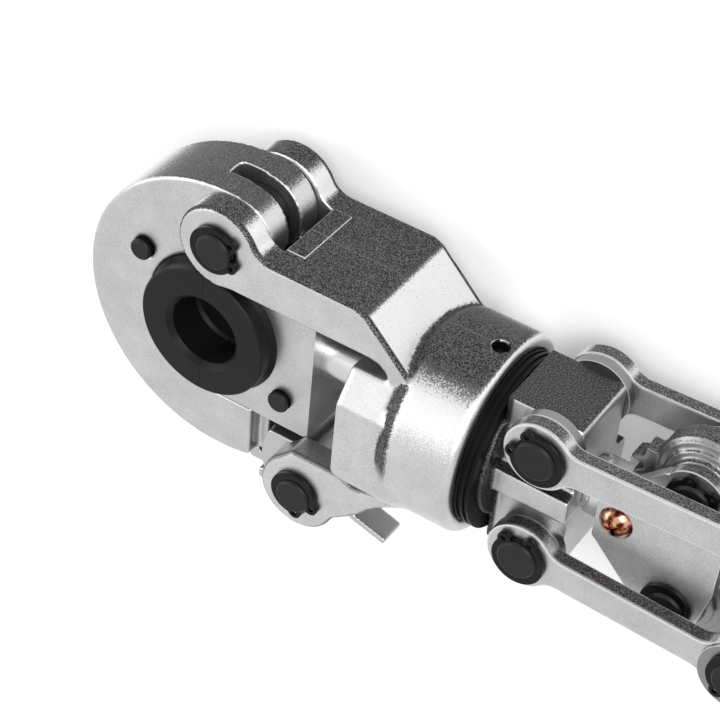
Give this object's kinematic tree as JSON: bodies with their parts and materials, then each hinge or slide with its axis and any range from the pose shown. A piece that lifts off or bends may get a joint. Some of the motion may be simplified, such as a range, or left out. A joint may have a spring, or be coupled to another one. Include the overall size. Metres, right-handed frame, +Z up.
{
  "type": "hand press tool for pipe fittings",
  "caption": "Long-handled hand press tool for pipe fittings: swing jaw with paired dies, spring latch, swivelling head and two geared toggle handles.",
  "frame": {"origin": "middle of the press bore, on the tool's mid-plane", "axes": "+X back along the tool to the handles, +Y to the jaw hinge, +Z up when the tool lies on its side"},
  "size_m": [0.508, 0.124, 0.06],
  "materials": {
    "housing_steel": "shot-blasted forged steel, machined faces satin",
    "machined_steel": "machined, satin",
    "bright_steel": "ground bright",
    "black_steel": "black oxide, semi-matt",
    "spring_steel": "drawn wire",
    "yellow_zinc": "yellow passivated zinc",
    "handle_tube": "bright plated tube",
    "grip_rubber": "matt rubber",
    "cap_plastic": "matt plastic"
  },
  "bodies": {
    "head": {"housing": "housing_steel", "hinge_pin": "black_steel", "hinge_circlips": "black_steel", "latch_pin": "black_steel", "latch_circlips": "black_steel", "hinge_sleeve": "black_steel", "latch_spring": "spring_steel", "swivel_ring": "black_steel", "neck_keeper": "spring_steel", "set_screw": "black_steel"},
    "jaw": {"swing_jaw": "machined_steel", "front_die": "black_steel", "front_button_spring": "spring_steel", "front_button_plug": "black_steel", "front_catch_ball": "bright_steel"},
    "jaw_button": {"front_button": "black_steel"},
    "slide": {"die_slide": "machined_steel", "rear_die": "black_steel", "rear_button_spring": "spring_steel", "rear_button_plug": "black_steel", "rear_catch_ball": "bright_steel", "ram_keeper_pins": "bright_steel"},
    "slide_button": {"rear_button": "black_steel"},
    "latch": {"latch": "machined_steel"},
    "fork": {"fork_block": "machined_steel", "fork_washers": "bright_steel", "upper_fork_pin": "black_steel", "lower_fork_pin": "black_steel", "fork_circlips": "black_steel"},
    "carrier": {"ram": "bright_steel", "near_carrier_plate": "machined_steel", "far_carrier_plate": "machined_steel", "carrier_screws": "yellow_zinc", "upper_lever_pin": "black_steel", "lower_lever_pin": "black_steel", "lever_pin_circlips": "black_steel"},
    "upper_links": {"upper_near_link": "machined_steel", "upper_far_link": "machined_steel"},
    "lower_links": {"lower_near_link": "machined_steel", "lower_far_link": "machined_steel"},
    "upper_handle": {"upper_lever": "machined_steel", "upper_crank_pin": "black_steel", "upper_crank_washers": "bright_steel", "upper_crank_circlips": "black_steel", "upper_tube": "handle_tube", "upper_tube_pin": "bright_steel", "upper_grip": "grip_rubber", "upper_end_cap": "cap_plastic"},
    "lower_handle": {"lower_lever": "machined_steel", "lower_crank_pin": "black_steel", "lower_crank_washers": "bright_steel", "lower_crank_circlips": "black_steel", "lower_tube": "handle_tube", "lower_tube_pin": "bright_steel", "lower_grip": "grip_rubber", "lower_end_cap": "cap_plastic"}
  },
  "joints": [
    {"name": "jaw_swing", "type": "hinge", "parent": "head", "child": "jaw", "pos_m": [0.0062, 0.0356, 0], "axis": [0, 0, -1], "range_deg": [0, 70]},
    {"name": "latch_turn", "type": "hinge", "parent": "head", "child": "latch", "pos_m": [0.0375, -0.0384, 0], "axis": [0, 0, 1], "range_deg": [-4.8, 10], "stiffness_Nm_per_rad": 0.8, "springref_deg": -4.8},
    {"name": "jaw_button_press", "type": "slide", "parent": "jaw", "child": "jaw_button", "axis": [0, 0, -1], "range_m": [0, 0.002], "stiffness_N_per_m": 400, "deforming": ["front_button_spring"]},
    {"name": "slide_button_press", "type": "slide", "parent": "slide", "child": "slide_button", "axis": [0, 0, -1], "range_m": [0, 0.002], "stiffness_N_per_m": 400, "deforming": ["rear_button_spring"]},
    {"name": "head_swivel", "type": "hinge", "parent": "head", "child": "fork", "pos_m": [0.08, 0, 0], "axis": [1, 0, 0], "continuous": true},
    {"name": "upper_handle_turn", "type": "hinge", "parent": "carrier", "child": "upper_handle", "pos_m": [0.14907, 0.02, 0], "axis": [0, 0, 1], "range_deg": [0, 60]},
    {"name": "lower_handle_turn", "type": "hinge", "parent": "carrier", "child": "lower_handle", "pos_m": [0.14907, -0.02, 0], "axis": [0, 0, -1], "range_deg": [0, 60]},
    {"name": "ram_travel", "type": "slide", "parent": "fork", "child": "carrier", "axis": [1, 0, 0], "range_m": [0, 0.0075]},
    {"name": "die_travel", "type": "slide", "parent": "head", "child": "slide", "axis": [1, 0, 0], "range_m": [0, 0.0075]},
    {"name": "upper_link_turn", "type": "hinge", "parent": "fork", "child": "upper_links", "pos_m": [0.1091, 0.0184, 0], "axis": [0, 0, 1], "range_deg": [0, 21]},
    {"name": "lower_link_turn", "type": "hinge", "parent": "fork", "child": "lower_links", "pos_m": [0.1091, -0.0184, 0], "axis": [0, 0, -1], "range_deg": [0, 21]}
  ],
  "couplings": [
    {"joint": "lower_handle_turn", "follows": "upper_handle_turn", "ratio": 1},
    {"joint": "ram_travel", "follows": "upper_handle_turn", "m_per_rad": 0.0071},
    {"joint": "die_travel", "follows": "upper_handle_turn", "m_per_rad": 0.0071},
    {"joint": "upper_link_turn", "follows": "upper_handle_turn", "ratio": 0.344},
    {"joint": "lower_link_turn", "follows": "upper_handle_turn", "ratio": 0.344}
  ]
}
